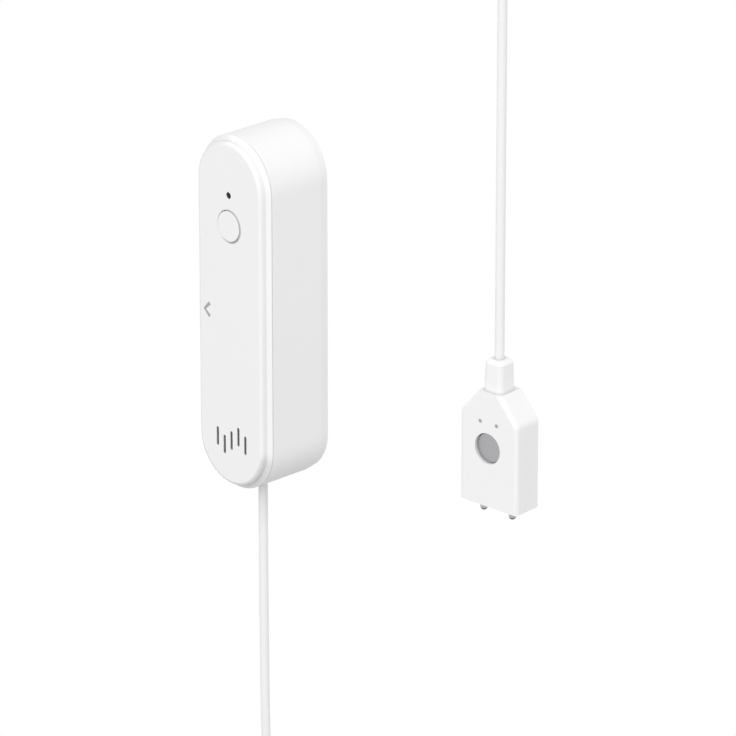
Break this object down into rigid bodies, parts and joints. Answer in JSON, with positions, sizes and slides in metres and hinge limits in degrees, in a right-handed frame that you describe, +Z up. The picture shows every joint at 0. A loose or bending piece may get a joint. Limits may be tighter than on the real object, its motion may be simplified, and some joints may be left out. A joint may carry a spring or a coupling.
{
  "type": "water leak detector",
  "caption": "Slim wall-mounted water leak detector with push button, sound slots, a thin white cord and a small hanging probe with contact pins.",
  "frame": {"origin": "centre of the adhesive pad's back face, which lies on the wall", "axes": "+Y into the wall, front faces -Y, +X right seen from the front, +Z up"},
  "size_m": [0.1776, 0.0218, 0.298],
  "materials": {
    "white_shell": "fine satin",
    "white_button": "fine satin",
    "pad": "foam",
    "seal": "matte",
    "clear_pipe": "smoked clear",
    "board": "solder mask",
    "black_part": "moulded",
    "white_part": "moulded",
    "steel": "brushed",
    "nickel": "polished",
    "brass": "plain",
    "mesh": "woven",
    "foam": "foam",
    "cell_wrap": "sleeve",
    "cord": "satin",
    "wire_red": "insulation",
    "wire_black": "insulation",
    "grey_dot": "satin",
    "clip": "satin"
  },
  "bodies": {
    "base": {"adhesive_pad": "pad", "rear_housing": "white_shell", "seal_ring": "seal", "front_cover": "white_shell", "switch_body": "black_part", "light_pipe": "clear_pipe", "status_led": "white_part", "circuit_board": "board", "board_chips": "black_part", "radio_can": "steel", "antenna_strip": "brass", "buzzer": "black_part", "sound_mesh": "mesh", "sound_gasket": "foam", "cell_left": "cell_wrap", "cell_right": "cell_wrap", "contact_bridge": "nickel", "contact_positive": "nickel", "contact_negative": "nickel", "wire_plug": "white_part", "lead_wire_left": "wire_red", "lead_wire_right": "wire_black", "cord_seal": "seal", "cord_crimp": "steel", "cord_drop": "cord", "cord_coil": "cord", "coil_tie": "clip", "cord_return": "cord", "probe_shell": "white_shell", "probe_back": "white_shell", "probe_disc": "grey_dot", "probe_board": "board", "probe_dot_left": "grey_dot", "probe_dot_right": "grey_dot", "contact_pin_left": "nickel", "contact_pin_right": "nickel", "probe_relief": "white_shell", "board_screw_1": "steel", "board_screw_2": "steel", "board_screw_3": "steel", "board_screw_4": "steel", "cable_clip_1": "clip", "cable_clip_2": "clip", "cable_clip_3": "clip", "cable_clip_4": "clip", "cable_clip_5": "clip"},
    "button": {"button_cap": "white_button", "switch_plunger": "white_part"}
  },
  "joints": [
    {"name": "button_press", "type": "slide", "parent": "base", "child": "button", "axis": [0, 1, 0], "range_m": [0, 0.0003], "stiffness_N_per_m": 3000}
  ]
}
